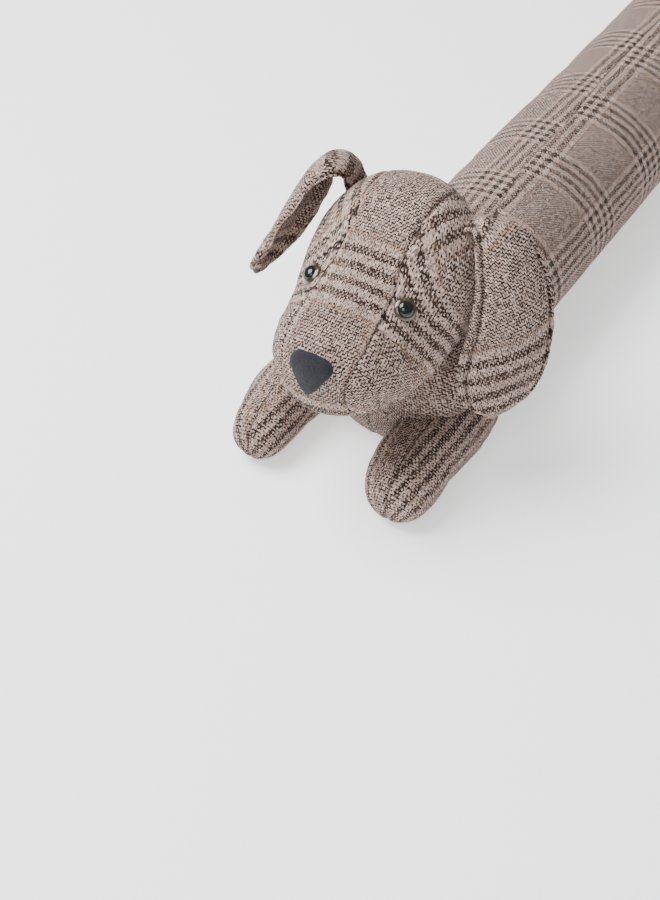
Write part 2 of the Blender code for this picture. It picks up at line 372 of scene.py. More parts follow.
def cubic(before, start, end, after, part):
    """A point on the smooth curve that runs from start to end."""
    return 0.5 * (
        2 * start
        + (end - before) * part
        + (2 * before - 5 * start + 4 * end - after) * part ** 2
        + (3 * start - before - 3 * end + after) * part ** 3
    )


def smooth_rows(columns, rows, steps, closing=()):
    """Rows read from the smooth curves through a table. Closing columns pass through zero at its ends."""
    first = [-value if name in closing else value for name, value in zip(columns, rows[1])]
    last = [-value if name in closing else value for name, value in zip(columns, rows[-2])]
    if not closing:
        first = [2 * a - b for a, b in zip(rows[0], rows[1])]
        last = [2 * a - b for a, b in zip(rows[-1], rows[-2])]
    padded = [first, *rows, last]
    result = []
    for index in range(len(rows) - 1):
        for step in range(steps):
            part = step / steps
            values = [cubic(*(padded[index + k][c] for k in range(4)), part) for c in range(len(columns))]
            result.append(dict(zip(columns, values)))
    result.append(dict(zip(columns, rows[-1])))
    return result


def read_table(columns, rows, name, point):
    """One column of a table in metres, read in a straight line between its rows at a point's place on X."""
    places = [row[0] for row in rows]
    values = [row[columns.index(name)] for row in rows]
    return float(np.interp(along_of(point.x) / MM, places, values)) * MM


def smooth_step(part):
    part = np.clip(part, 0.0, 1.0)
    return part * part * (3 - 2 * part)


@contextmanager
def opened(mesh):
    """The mesh opened for editing, and written back at the end."""
    shape = bmesh.new()
    shape.from_mesh(mesh)
    yield shape
    shape.to_mesh(mesh)
    shape.free()


def mesh_from_rings(name, rings, start, end):
    """Join rings of equal count, and close them with a point at each end."""
    mesh = bpy.data.meshes.new(name)
    with opened(mesh) as shape:
        loops = [[shape.verts.new(point) for point in ring] for ring in rings]
        count = len(loops[0])
        for lower, upper in zip(loops, loops[1:]):
            for i in range(count):
                j = (i + 1) % count
                shape.faces.new((lower[i], lower[j], upper[j], upper[i]))
        for loop, tip in ((loops[0], start), (loops[-1], end)):
            point = shape.verts.new(tip)
            for i in range(count):
                shape.faces.new((loop[i], loop[(i + 1) % count], point))
        bmesh.ops.recalc_face_normals(shape, faces=shape.faces)
    return mesh


def add_piece(name, mesh):
    piece = bpy.data.objects.new(name, mesh)
    bpy.context.scene.collection.objects.link(piece)
    return piece


def modify(piece, kind, **settings):
    modifier = piece.modifiers.new(kind, kind)
    for name, value in settings.items():
        setattr(modifier, name, value)


def apply_modifiers(piece):
    """Keep the mesh that the modifiers make, and drop the modifiers."""
    depsgraph = bpy.context.evaluated_depsgraph_get()
    mesh = bpy.data.meshes.new_from_object(
        piece.evaluated_get(depsgraph), preserve_all_data_layers=True, depsgraph=depsgraph
    )
    piece.modifiers.clear()
    old = piece.data
    piece.data = mesh
    mesh.name = old.name
    bpy.data.meshes.remove(old)


def read_all(items, name, width=1, kind=float):
    """One value of every item in a list of the mesh, as an array."""
    values = np.empty(len(items) * width, dtype=kind)
    items.foreach_get(name, values)
    return values.reshape(-1, width) if width > 1 else values


def get_points(mesh):
    return read_all(mesh.vertices, "co", 3)


def get_normals(mesh):
    return read_all(mesh.vertex_normals, "vector", 3)


def set_points(mesh, points):
    mesh.vertices.foreach_set("co", np.ascontiguousarray(points, dtype=np.float32).ravel())
    mesh.update()


# Stuffed pieces: cut from a fine cage, split along their seams, filled, and finished
def remesh(piece, voxel):
    """Even square faces of one size, as the cloth needs."""
    modify(piece, "REMESH", mode="VOXEL", voxel_size=voxel)
    modify(piece, "SMOOTH", factor=0.5, iterations=3)
    apply_modifiers(piece)


def crossing_edges(shape, level):
    """Each edge whose two ends lie on either side of the seam, and its part up to the seam."""
    for edge in list(shape.edges):
        a, b = edge.verts
        if a in level and b in level and level[a] * level[b] < 0:
            yield edge, a, b, level[a] / (level[a] - level[b])


def split_along(shape, level_of, closed_in):
    """Cut an opened mesh where level_of changes sign, so that a row of edges follows the seam there."""
    level = {vert: level_of(vert.co) for vert in shape.verts if closed_in is None or closed_in(vert.co)}
    for _, a, b, part in crossing_edges(shape, level):
        if not SNAP <= part <= 1 - SNAP:
            mover = a if part < SNAP else b
            mover.co = a.co.lerp(b.co, part)
            level[mover] = 0.0
    for edge, a, _, part in crossing_edges(shape, level):
        level[bmesh.utils.edge_split(edge, a, part)[1]] = 0.0
    bmesh.ops.connect_verts(shape, verts=[vert for vert, value in level.items() if value == 0.0])


def mark_panels(mesh, panel_of):
    """Number each face by its panel, and mark the edges where two panels meet."""
    with opened(mesh) as shape:
        number = shape.faces.layers.int.new("panel")
        seam = shape.verts.layers.float.new("seam")
        for face in shape.faces:
            face[number] = panel_of(face.calc_center_median())
        for edge in shape.edges:
            edge.seam = len({face[number] for face in edge.link_faces}) > 1
            if edge.seam:
                for vert in edge.verts:
                    vert[seam] = 1.0


def unwrap(piece):
    """Flatten the panels between their seams, and give each face corner its place on the flat cloth."""
    piece.data.uv_layers.new(name="flat")
    bpy.ops.object.select_all(action="DESELECT")
    bpy.context.view_layer.objects.active = piece
    piece.select_set(True)
    bpy.ops.object.mode_set(mode="EDIT")
    bpy.ops.mesh.select_all(action="SELECT")
    bpy.ops.uv.unwrap(method="ANGLE_BASED", margin=0.001)
    bpy.ops.object.mode_set(mode="OBJECT")
    piece.select_set(False)
    layers = piece.data.uv_layers
    flat = read_all(layers["flat"].uv, "vector", 2)
    layers.remove(layers["flat"])
    return flat


def loop_arrays(mesh):
    """For each face corner: its point, its face, its face's panel and its vertex."""
    vert_of = read_all(mesh.loops, "vertex_index", kind=np.int32)
    totals = read_all(mesh.polygons, "loop_total", kind=np.int32)
    face_of = np.repeat(np.arange(len(totals)), totals)
    panels = read_all(mesh.attributes["panel"].data, "value", kind=np.int32)
    return get_points(mesh)[vert_of], face_of, panels[face_of], vert_of


def flat_areas(flat, face_of, following, count):
    """Area of each face in the flattened cloth, by its corners in order."""
    cross = flat[:, 0] * flat[following, 1] - flat[:, 1] * flat[following, 0]
    return np.bincount(face_of, cross, count) / 2


def local_fit(away, cloth, reach):
    """How places near a point map to the flat cloth: three rows for x, y and z, and one for the point."""
    distance = np.linalg.norm(away, axis=1)
    near = distance < max(reach, np.sort(distance)[min(LEAST_POINTS, len(distance) - 1)])
    terms = np.c_[away[near], np.ones(near.sum())]
    return np.linalg.lstsq(terms, cloth[near], rcond=1e-3)[0]


def lay_threads(cloth, points, lay):
    """Turn and shift flat cloth so that its threads lie as lay says."""
    away = points - np.array(lay["at"])
    run = np.array(lay["run"]) @ local_fit(away, cloth, lay.get("reach", RUN_REACH))[:3]
    run /= np.linalg.norm(run)
    turn = np.array([[run[1], run[0]], [-run[0], run[1]]])
    turned = (cloth - local_fit(away, cloth, PLACE_REACH)[3]) @ turn
    turned[:, 1] -= lay.get("skew", 0.0) * turned[:, 0]
    return turned / np.array(lay.get("pitch", (PITCH_ACROSS, PITCH_ALONG))) + np.array(lay["threads"])


def settle(starts, ends, wanted, weights, count):
    """Numbers at points whose differences along the steps come closest to the wanted ones."""
    diagonal = np.bincount(starts, weights, count) + np.bincount(ends, weights, count)
    diagonal = np.maximum(diagonal, 1e-9)

    def pulled(differences):
        pull = weights * differences
        return np.bincount(ends, pull, count) - np.bincount(starts, pull, count)

    values = np.zeros(count)
    left = pulled(wanted)
    eased = left / diagonal
    way = eased.copy()
    for _ in range(SETTLE_STEPS):
        response = pulled(way[ends] - way[starts])
        size = left @ eased / max(way @ response, 1e-30)
        values += size * way
        after = left - size * response
        eased_after = after / diagonal
        way = eased_after + way * (after @ eased_after) / max(left @ eased, 1e-30)
        left = after
        eased = eased_after
    return values


def nearest(points, place):
    return np.linalg.norm(points - np.array(place), axis=1).argmin()


def laid_along(mesh, lay, starts, ends):
    """Thread numbers for long threads whose direction changes over the panel, and where bars are left out."""
    used, joined = np.unique(np.r_[starts, ends], return_inverse=True)
    starts, ends = joined.reshape(2, -1)
    points = get_points(mesh)[used]
    normals = get_normals(mesh)[used]
    if "round" in lay:
        run = np.cross(normals, lay["round"]) + np.array(lay["run"])
    else:
        share = smooth_step((points[:, 2] - lay["turn_from"]) / (lay["turn_to"] - lay["turn_from"]))[:, None]
        run = np.array(lay["run"]) * (1 - share) + np.array(lay["upper_run"]) * share
    run -= normals * (run * normals).sum(1)[:, None]
    size = np.linalg.norm(run, axis=1)
    run /= np.maximum(size, 1e-6)[:, None]
    side = np.cross(run, normals) * lay["mirror"]
    steps = points[ends] - points[starts]
    weights = np.clip(size[starts] * size[ends], LEAST_WEIGHT, 1.0)
    flat = np.zeros((len(used), 2))
    for column, way in enumerate((side, run)):
        wanted = (steps * (way[starts] + way[ends])).sum(1) / 2
        flat[:, column] = settle(starts, ends, wanted, weights, len(used))
    flat -= flat[nearest(points, lay["at"])]
    if "level_at" in lay:
        flat[:, 1] -= flat[nearest(points, lay["level_at"]), 1]
    numbers = flat / np.array((PITCH_ACROSS, PITCH_ALONG)) + np.array(lay["threads"])
    plain_across = np.clip((PLAIN_THREAD - numbers[:, 0]) / PLAIN_FADE_THREADS, 0, 1)
    plain_from, plain_to = (world_x(place) for place in lay["plain"])
    plain_along = np.clip((points[:, 0] - plain_from) / (plain_to - plain_from), 0, 1)
    return used, np.c_[numbers, plain_across, plain_along]


def following_corners(face_of):
    """The next corner round the same face, for each corner."""
    following = np.arange(len(face_of)) + 1
    starts = np.flatnonzero(np.r_[True, face_of[1:] != face_of[:-1]])
    following[np.r_[starts[1:], len(face_of)] - 1] = starts
    return following


def lay_check(piece, panels):
    flat = unwrap(piece)
    mesh = piece.data
    points, face_of, panel_of, vert_of = loop_arrays(mesh)
    following = following_corners(face_of)
    real = read_all(mesh.polygons, "area")
    drawn = flat_areas(flat, face_of, following, len(real))
    threads = np.zeros((len(flat), 4))
    for number, lay in panels.items():
        mine = panel_of == number
        if "round" in lay or "upper_run" in lay:
            used, laid = laid_along(mesh, lay, vert_of[mine], vert_of[following[mine]])
            threads[mine] = laid[np.searchsorted(used, vert_of[mine])]
            continue
        faces = np.unique(face_of[mine])
        cloth = flat[mine] * sqrt(real[faces].sum() / abs(drawn[faces].sum()))
        if lay["mirror"] * drawn[faces].sum() < 0:
            cloth[:, 0] *= -1
        threads[mine, :2] = lay_threads(cloth, points[mine], lay)
        if "plain_before" in lay:
            ahead = (lay["plain_before"] - points[mine][:, 0]) / PLAIN_FADE
            threads[mine, 2:] = np.clip(ahead, 0, 1)[:, None]
    store_threads(mesh, threads)


def store_threads(mesh, threads):
    """Keep with each face corner its thread numbers, and how far the bars of each kind are left out there."""
    threads = np.asarray(threads, dtype=np.float32)
    for name, first in (("weave", 0), ("plain", 2)):
        vectors = np.zeros((len(threads), 3), dtype=np.float32)
        vectors[:, :2] = threads[:, first:first + 2]
        mesh.attributes.new(name, "FLOAT_VECTOR", "CORNER").data.foreach_set("vector", vectors.ravel())


def add_filling(piece, pressure):
    """Cloth under pressure from its filling, held along its seams."""
    group = piece.vertex_groups.new(name="held")
    level = read_all(piece.data.attributes["seam"].data, "value")
    group.add(np.flatnonzero(level > 0.5).tolist(), 1.0, "REPLACE")
    cloth = piece.modifiers.new("filling", "CLOTH")
    cloth.settings.use_pressure = True
    cloth.settings.uniform_pressure_force = pressure
    cloth.settings.effector_weights.gravity = 0.0
    cloth.settings.vertex_group_mass = group.name
    cloth.settings.shrink_min = CLOTH_SLACK
    cloth.point_cache.frame_start = 1
    cloth.point_cache.frame_end = FILL_FRAMES


def fill_all(fillings):
    """Run the filling of every padded piece at once, and keep a limited part of its swelling."""
    before = {}
    for piece, (pressure, _) in fillings.items():
        before[piece] = (get_points(piece.data), get_normals(piece.data))
        add_filling(piece, pressure)
    for frame_number in range(1, FILL_FRAMES + 1):
        bpy.context.scene.frame_set(frame_number)
    for piece, (_, cap) in fillings.items():
        apply_modifiers(piece)
        piece.vertex_groups.clear()
        points, normals = before[piece]
        moved = get_points(piece.data) - points
        size = np.linalg.norm(moved, axis=1)
        moved *= (np.tanh(size / cap) * cap / np.maximum(size, 1e-9))[:, None]
        mean = float((moved * normals).sum(1).mean())
        set_points(piece.data, points + moved - normals * mean)
    bpy.context.scene.frame_set(1)


def subdivide(piece, levels):
    modify(piece, "SUBSURF", levels=levels, render_levels=levels, boundary_smooth="PRESERVE_CORNERS")
    apply_modifiers(piece)


def sew(piece, depth, width, floor):
    """Pull the cloth in along its seams, gather it beside them, and press small hollows into the whole."""
    mesh = piece.data
    points = get_points(mesh)
    level = read_all(mesh.attributes["seam"].data, "value")
    seam = np.flatnonzero(level > 0.999)
    tree = KDTree(len(seam))
    for index in seam:
        tree.insert(points[index], int(index))
    tree.balance()
    push = np.zeros(len(points))
    gap = np.zeros(len(points), dtype=np.float32)
    for index, point in enumerate(points):
        place = Vector(point)
        push[index] = sum(height * noise.noise(place / size) for height, size in HOLLOWS)
        away = tree.find(place)[2]
        gap[index] = away
        if away < SEAM_REACH:
            gather = noise.noise(place / GATHER_SIZE) * exp(-away / GATHER_REACH)
            push[index] += -depth * exp(-away / width) + GATHER_SHARE * depth * gather
            push[index] += ROLL_HEIGHT * exp(-((away - ROLL_AT) / ROLL_WIDTH) ** 2)
    points += get_normals(mesh) * push[:, None]
    if floor is not None:
        points[:, 2] = np.maximum(points[:, 2], floor)
    set_points(mesh, points)
    # The distance to the nearest seam, from which the cloth's material paints shade in the groove and a
    # highlight on the roll beside it
    mesh.attributes.new("seam_gap", "FLOAT", "POINT").data.foreach_set("value", gap)


def drop_working_data(piece):
    """Only what the cloth's material reads is needed once the piece is finished."""
    mesh = piece.data
    for name in ("seam", "panel"):
        if name in mesh.attributes:
            mesh.attributes.remove(mesh.attributes[name])
    piece.vertex_groups.clear()
    mesh.shade_smooth()


# Base shapes, and the columns that close each section at the ends of its table
CLOSING = ("half_width", "rise", "drop")


def ring_points(row, sides, mirror):
    """An upright oval section as a list of points."""
    points = []
    for side in range(sides):
        angle = 2 * pi * side / sides
        reach = row["rise"] if sin(angle) > 0 else row["drop"]
        y = row.get("side", 0) * MM * mirror + row["half_width"] * MM * cos(angle)
        points.append(Vector((world_x(row["along"] * MM), y, row["level"] * MM + reach * MM * sin(angle))))
    return points


def section_mesh(name, columns, table, sides, steps, lowest, mirror=1):
    """A closed skin through the sections of a table. Lowest gives the level nothing goes below at a place."""
    rows = smooth_rows(columns, table, steps, CLOSING)
    rings = [ring_points(row, sides, mirror) for row in rows[1:-1]]
    for point in (point for ring in rings for point in ring):
        point.z = max(point.z, lowest(point.x, point.y))
    tips = [ring_points(row, 1, mirror)[0] for row in (rows[0], rows[-1])]
    return mesh_from_rings(name, rings, *tips)


def jaw_level(x, y):
    """Height of the rounded under-jaw at a place."""
    across = ((along_of(x) / MM - JAW_CENTRE[0]) / JAW_HALF[0]) ** 2 + (y / MM / JAW_HALF[1]) ** 2
    return (JAW_CENTRE[2] - JAW_HALF[2] * sqrt(max(0.0, 1 - across))) * MM


def floor_level(x, y):
    return FLOOR_GAP


def body_mesh():
    """A round tube with domed ends, pressed flat on the floor."""
    start = BODY_FRONT + BODY_FRONT_DEPTH
    end = along_of(REAR_X) - BODY_REAR_DEPTH
    turns = [step / BODY_CAP_RINGS * pi / 2 for step in range(1, BODY_CAP_RINGS)]
    places = [(start - BODY_FRONT_DEPTH * cos(turn), sin(turn)) for turn in turns]
    for step in range(BODY_STRAIGHT_RINGS + 1):
        places.append((start + (end - start) * step / BODY_STRAIGHT_RINGS, 1.0))
    places += [(end + BODY_REAR_DEPTH * cos(turn), sin(turn)) for turn in reversed(turns)]
    rings = []
    for along, share in places:
        ring = []
        for side in range(BODY_SIDES):
            angle = 2 * pi * side / BODY_SIDES
            height = BODY_CENTRE_Z + BODY_RADIUS * share * sin(angle)
            ring.append((world_x(along), BODY_RADIUS * share * cos(angle), max(height, FLOOR_GAP)))
        rings.append(ring)
    tips = [(world_x(BODY_FRONT), 0, BODY_CENTRE_Z), (REAR_X, 0, BODY_CENTRE_Z)]
    return mesh_from_rings("body", rings, *tips)


# Panels of the stuffed pieces. Each level function is zero on its seam
def back_seam(point):
    """Positive to the dog's right of the wandering seam along the back."""
    turn = read_table(BACK_SEAM_COLUMNS, BACK_SEAM_ROWS, "arc", point) / BODY_RADIUS
    return point.y - (BODY_RADIUS * sin(turn) if point.z > BODY_CENTRE_Z else 0.0)


HEAD_FINE_ROWS = [tuple(row.values()) for row in smooth_rows(HEAD_COLUMNS, HEAD_ROWS, 6, CLOSING)]


def head_value(name, point):
    return read_table(HEAD_COLUMNS, HEAD_FINE_ROWS, name, point)


def jaw_seam(point):
    """Negative on the panel under the jaw."""
    level = head_value("level", point)
    if point.z > level:
        return VOXEL
    half_width = max(head_value("half_width", point), 1e-4)
    open_part = sqrt(max(0.0, 1 - (point.y / half_width) ** 2))
    return level - head_value("drop", point) * open_part - jaw_level(point.x, point.y) + JAW_SEAM_LIFT


def gusset_seam(point):
    """Negative on the panel over the crown, to the dog's left or right of it positive."""
    return abs(point.y) - read_table(GUSSET_COLUMNS, GUSSET_ROWS, "half_width", point)


def over_head(point):
    """Whether a point lies where the crown's panel can be."""
    along = along_of(point.x)
    return (
        point.z > head_value("level", point) - GUSSET_OVERLAP or along < GUSSET_FRONT or along > GUSSET_REAR
    )


def head_panel(point):
    if jaw_seam(point) < 0:
        return CHIN_PANEL
    if over_head(point) and gusset_seam(point) < 0:
        return GUSSET_PANEL
    return RIGHT_PANEL if point.y > 0 else LEFT_PANEL


def leg_middle(table, mirror):
    """A function that is zero on the upright seam plane of a paw."""
    return lambda point: point.y - read_table(LEG_COLUMNS, table, "side", point) * mirror


def leaf_edge(point):
    """Zero on the level seam of a flat leg."""
    return point.z - read_table(LEG_COLUMNS, HIND_LEG_ROWS, "level", point)


def split_panels(level_of, above, below):
    """A function that gives the panel of a point by the sign of its level."""
    return lambda point: above if level_of(point) > 0 else below


def stuffed_piece(name, mesh, voxel, seams, panel_of, panels):
    """A piece with its seams cut in and its check laid on each panel."""
    piece = add_piece(name, mesh)
    remesh(piece, voxel)
    with opened(piece.data) as shape:
        for level_of, closed_in in seams:
            split_along(shape, level_of, closed_in)
    mark_panels(piece.data, panel_of)
    lay_check(piece, panels)
    return piece


# Padded leaves: two layers sewn round their edge
def leaf_piece(name, table, thickness, mirror, lay):
    """An ear or the tail: an outer layer, an inner layer with a hollow, and a full rim."""
    rows = smooth_rows(LEAF_COLUMNS, table, LEAF_STEPS)
    centres = [Vector((world_x(r["along"] * MM), r["side"] * MM * mirror, r["up"] * MM)) for r in rows]
    travelled = [0.0]
    for before, after in zip(centres, centres[1:]):
        travelled.append(travelled[-1] + (after - before).length)
    last = len(rows) - 1
    points = []
    for index, row in enumerate(rows):
        ahead = (centres[min(index + 1, last)] - centres[max(index - 1, 0)]).normalized()
        width = Vector((row["across"], row["out"] * mirror, -row["down"]))
        width = (width - ahead * width.dot(ahead)).normalized()
        face = ahead.cross(width) * mirror
        half = row["half_width"] * MM
        for side in range(LEAF_SIDES):
            angle = 2 * pi * side / LEAF_SIDES
            across = cos(angle)
            inset = min(half * (1 - abs(across)), travelled[-1] - travelled[index] + LEAF_TIP_RIM)
            dip = lay["hollow"] * smooth_step((inset - lay["rim"]) / HOLLOW_SLOPE)
            dip = dip if sin(angle) > 0 else 0.0
            through = thickness / 2 * sin(angle) + row["curl"] * MM * across ** 2 - dip
            points.append(centres[index] + width * half * across + face * through)
    points.append(centres[-1] + (centres[-1] - centres[-2]).normalized() * thickness * LEAF_TIP)
    tip = len(points) - 1
    sides = range(LEAF_SIDES)
    strips = [((i, s), (i, s + 1), (i + 1, s + 1), (i + 1, s)) for i in range(last) for s in sides]
    strips += [((last, s), (last, s + 1), (last + 1, s + 0.5)) for s in sides]
    seam_sides = (LEAF_SIDES - lay["rear_seam"], LEAF_SIDES // 2 + lay["front_seam"])
    mesh = bpy.data.meshes.new(name)
    faces = [[min(i * LEAF_SIDES + int(s) % LEAF_SIDES, tip) for i, s in corners] for corners in strips]
    mesh.from_pydata(points, [], faces)
    store_threads(mesh, [
        leaf_thread(at, corners[0], rows, travelled, lay, seam_sides)
        for corners in strips
        for at in corners
    ])
    seam = mesh.attributes.new("seam", "FLOAT", "POINT")
    for index in range(len(rows)):
        for side in seam_sides:
            seam.data[index * LEAF_SIDES + side].value = 1.0
    seam.data[tip].value = 1.0
    with opened(mesh) as shape:
        bmesh.ops.recalc_face_normals(shape, faces=shape.faces)
    return add_piece(name, mesh)


def leaf_thread(at, first, rows, travelled, lay, seam_sides):
    """Thread numbers at one corner of a leaf's face, counted from the middle line of the face's layer."""
    index, side = at
    outer = seam_sides[1] <= first[1] < seam_sides[0]
    along = travelled[min(index, len(rows) - 1)] + (TIP_CLOTH if index >= len(rows) else 0.0)
    along -= lay["outer_start" if outer else "inner_start"]
    across = rows[min(index, len(rows) - 1)]["half_width"] * MM * cos(2 * pi * side / LEAF_SIDES)
    turned_along = along * cos(lay["turn"]) + across * sin(lay["turn"])
    turned_across = across * cos(lay["turn"]) - along * sin(lay["turn"])
    numbers = turned_across / PITCH_ACROSS + lay["side_thread"], turned_along / PITCH_ALONG
    return *numbers, *lay["plain"]


# Materials
class Graph:
    """A material whose nodes are added and linked one after another."""

    def __init__(self, name):
        self.material = bpy.data.materials.new(name)
        self.material.use_nodes = True
        self.tree = self.material.node_tree
        self.tree.nodes.clear()
        self.shader = self.tree.nodes.new("ShaderNodeBsdfPrincipled")
        output = self.tree.nodes.new("ShaderNodeOutputMaterial")
        self.tree.links.new(self.shader.outputs["BSDF"], output.inputs["Surface"])

    def put(self, socket, value):
        if isinstance(value, bpy.types.NodeSocket):
            self.tree.links.new(value, socket)
        else:
            socket.default_value = (*value, 1.0) if isinstance(value, tuple) else value

    def add(self, kind, values, **settings):
        """A node with its settings, and a value or a link at each input that is named or numbered."""
        node = self.tree.nodes.new("ShaderNode" + kind)
        for name, value in settings.items():
            setattr(node, name, value)
        for name, value in values.items():
            self.put(node.inputs[name], value)
        return node

    def math(self, operation, *values):
        return self.add("Math", dict(enumerate(values)), operation=operation).outputs["Value"]

    def plus(self, first, second):
        return self.math("ADD", first, second)

    def times(self, first, second):
        return self.math("MULTIPLY", first, second)

    def modulo(self, value, size):
        return self.math("FLOORED_MODULO", value, size)

    def less(self, value, limit):
        return self.math("LESS_THAN", value, limit)

    def more(self, value, limit):
        return self.math("GREATER_THAN", value, limit)

    def apart(self, first, second):
        return self.math("ABSOLUTE", self.math("SUBTRACT", first, second))

    def attribute(self, name, output):
        return self.add("Attribute", {}, attribute_name=name).outputs[output]

    def place(self):
        return self.add("TexCoord", {}).outputs["Object"]

    def split(self, vector):
        return self.add("SeparateXYZ", {0: vector}).outputs[:2]

    def join(self, x, y, z=0.0):
        return self.add("CombineXYZ", {0: x, 1: y, 2: z}).outputs[0]

    def noise(self, vector, scale, detail=2.0, rough=0.5):
        values = {"Vector": vector, "Scale": scale, "Detail": detail, "Roughness": rough}
        return self.add("TexNoise", values).outputs["Fac"]

    def chance(self, vector):
        return self.add("TexWhiteNoise", {"Vector": vector}, noise_dimensions="3D").outputs["Value"]

    def mix(self, share, first, second, way="MIX"):
        values = {"Factor": share, 6: first, 7: second}
        return self.add("Mix", values, data_type="RGBA", blend_type=way).outputs[2]

    def blend(self, share, first, second):
        """Between two numbers."""
        return self.add("Mix", {"Factor": share, 2: first, 3: second}).outputs[0]

    def ramp(self, value, low, high, to_low=0.0, to_high=1.0):
        values = {"Value": value, "From Min": low, "From Max": high, "To Min": to_low, "To Max": to_high}
        return self.add("MapRange", values).outputs["Result"]

    def bump(self, height, distance, strength, **under):
        values = {"Height": height, "Distance": distance, "Strength": strength, **under}
        return self.add("Bump", values).outputs["Normal"]

    def finish(self, **values):
        for name, value in values.items():
            self.put(self.shader.inputs[name.replace("_", " ")], value)
        return self.material


def check_bars(graph, thread, barred):
    """Whether a thread is dark, and whether it is one of the thin rust ones, by its place in the repeat."""
    place = graph.modulo(graph.plus(thread, BAR_THREADS), REPEAT_THREADS)
    coarse = graph.less(place, COARSE_THREADS + BAR_THREADS)
    wide = graph.more(graph.modulo(place, 2 * BAR_THREADS), BAR_THREADS - 0.5)
    fine = graph.less(graph.modulo(place, 2), 1)
    dark = graph.blend(graph.times(coarse, barred), fine, wide)
    first = graph.math("COMPARE", place, COARSE_THREADS + BAR_THREADS + 1, RUST_SPREAD)
    second = graph.math("COMPARE", place, REPEAT_THREADS - 2, RUST_SPREAD)
    return dark, graph.times(graph.math("MAXIMUM", first, second), barred)


def stray_thread(graph, thread, swayed, wavered):
    """A thread's place, which drifts over long stretches and wavers over short ones."""
    sway = graph.ramp(graph.noise(swayed, SWAY_SCALE, 1.0), 0.0, 1.0, -SWAY, SWAY)
    waver = graph.ramp(graph.noise(wavered, WAVER_SCALE), 0.2, 0.8, -WAVER, WAVER)
    return graph.plus(graph.plus(thread, sway), waver)


def yarn_colour(graph, u, v, i, j, over, dark, rust):
    """Light and dark yarn streaked along each strand, with rust threads and touches of other colours."""
    strand_i = graph.noise(graph.join(graph.times(i, STRAND_STEP), graph.times(v, STRAND_SCALE)), 1.0)
    strand_j = graph.noise(graph.join(graph.times(u, STRAND_SCALE), graph.times(j, STRAND_STEP), 9.0), 1.0)
    streak = graph.ramp(graph.blend(over, strand_j, strand_i), *STREAKS)
    yarn = graph.mix(dark, graph.mix(streak, *LIGHT_YARN), graph.mix(streak, *DARK_YARN))
    yarn = graph.mix(graph.times(rust, RUST_SHARE), yarn, RUST_YARN)
    noises = {
        "fleck": graph.noise(graph.join(u, v, 3.0), FLECK_SCALE, 2.0, 0.7),
        "each": graph.chance(graph.join(i, j, 1.0)),
        "stray": graph.chance(graph.join(i, j, 6.0)),
        "tint": graph.noise(graph.place(), TINT_SCALE, 3.0, 0.65),
    }
    for name, low, high, most, colour in YARN_TOUCHES:
        yarn = graph.mix(graph.ramp(noises[name], low, high, 0.0, most), yarn, colour)
    return yarn


def cloth_material():
    """A twill check: two sets of threads, each over two and under two of the other.

    u and v are places counted in threads, i and j the numbers of the two threads that cross there. The last
    number in a join only keeps one noise apart from another.
    """
    graph = Graph("cloth")
    weave = graph.attribute("weave", "Vector")
    across, along = graph.split(weave)
    plain_across, plain_along = graph.split(graph.attribute("plain", "Vector"))
    u = stray_thread(graph, across, weave, weave)
    v = stray_thread(graph, along, graph.join(along, across, 7.0), graph.join(along, across, 5.0))
    i = graph.math("FLOOR", u)
    j = graph.math("FLOOR", v)
    dark_i, rust_i = check_bars(graph, i, graph.ramp(plain_across, 1.0, 0.0))
    dark_j, rust_j = check_bars(graph, j, graph.ramp(plain_along, 1.0, 0.0))
    over = graph.less(graph.modulo(graph.plus(i, j), TWILL_THREADS), TWILL_THREADS / 2)
    odd = graph.more(graph.chance(graph.join(i, j, 4.0)), REGULAR_CROSSINGS)
    over = graph.apart(over, odd)
    dark = graph.blend(over, dark_j, dark_i)
    rust = graph.blend(over, rust_j, rust_i)
    yarn = yarn_colour(graph, u, v, i, j, over, dark, rust)

    place = graph.place()
    shade = graph.ramp(graph.noise(place, SHADE_SCALE, 3.0), *PATCH_SHADE)
    gap = graph.attribute("seam_gap", "Fac")
    # Painted shade darkens the cloth in each seam's groove
    shade = graph.times(shade, graph.ramp(gap, *SEAM_PAINTED_SHADE))
    # Painted highlight lightens the small roll beside each seam
    shade = graph.times(shade, graph.ramp(graph.apart(gap, ROLL_AT), *ROLL_PAINTED_HIGHLIGHT))

    bulge_u = graph.apart(graph.math("FRACT", u), 0.5)
    bulge_v = graph.apart(graph.math("FRACT", v), 0.5)
    bulge = graph.blend(over, bulge_v, bulge_u)
    fuzz = graph.noise(place, FUZZ_SCALE)
    height = graph.math("SUBTRACT", 1.0, graph.times(graph.math("POWER", bulge, 2.0), 4.0))
    height = graph.plus(height, graph.times(fuzz, FUZZ_SHARE))
    soft = graph.bump(graph.noise(place, CREASE_SCALE, 3.0), CREASE_HEIGHT, 0.6)
    return graph.finish(
        Base_Color=graph.mix(1.0, yarn, shade, "MULTIPLY"),
        Roughness=graph.ramp(fuzz, *CLOTH_ROUGHNESS),
        Normal=graph.bump(height, THREAD_HEIGHT, 0.8, Normal=soft),
        Sheen_Weight=0.04,
        Sheen_Roughness=0.5,
        Specular_IOR_Level=0.1,
    )


def grained_material(name, grain, tones, colours, rough, relief, patches=None, **surface):
    """A finish whose colour, roughness and relief all follow one fine noise."""
    graph = Graph(name)
    grains = graph.noise(graph.place(), *grain)
    colour = graph.mix(graph.ramp(grains, *tones), *colours)
    if patches is not None:
        scale, *shades = patches
        colour = graph.mix(1.0, colour, graph.ramp(graph.noise(graph.place(), scale), *shades), "MULTIPLY")
    rough = graph.ramp(grains, *rough)
    return graph.finish(Base_Color=colour, Roughness=rough, Normal=graph.bump(grains, *relief), **surface)


